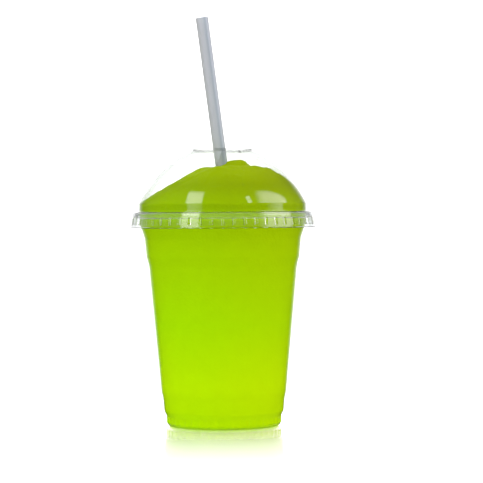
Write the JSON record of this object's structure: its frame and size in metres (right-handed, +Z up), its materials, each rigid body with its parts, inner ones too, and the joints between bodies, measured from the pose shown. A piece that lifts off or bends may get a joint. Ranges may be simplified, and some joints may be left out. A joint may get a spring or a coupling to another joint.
{
  "type": "takeaway cup with dome lid and straw",
  "caption": "Clear tapered takeaway cup with a rolled rim, filled with green slush, under a lift-off domed snap lid with a hole that a straw leans through.",
  "frame": {"origin": "on the cup's axis, at the level of the ring that the cup stands on", "axes": "+Z up along the cup's axis, +X to the right of the pictured view, +Y away from the viewer; the straw leans towards -X"},
  "size_m": [0.1036, 0.1034, 0.2256],
  "materials": {
    "cup_plastic": "clear thermoformed PET, glossy",
    "lid_plastic": "clear thermoformed PET, glossy",
    "slush": "wet fine-grained ice slush, lime green",
    "straw_plastic": "milky translucent extruded polypropylene"
  },
  "bodies": {
    "cup": {"cup": "cup_plastic", "slush": "slush", "straw": "straw_plastic"},
    "lid": {"dome_lid": "lid_plastic"}
  },
  "joints": [
    {"name": "lid_lift", "type": "slide", "parent": "cup", "child": "lid", "axis": [0, 0, 1], "range_m": [0, 0.12]}
  ]
}
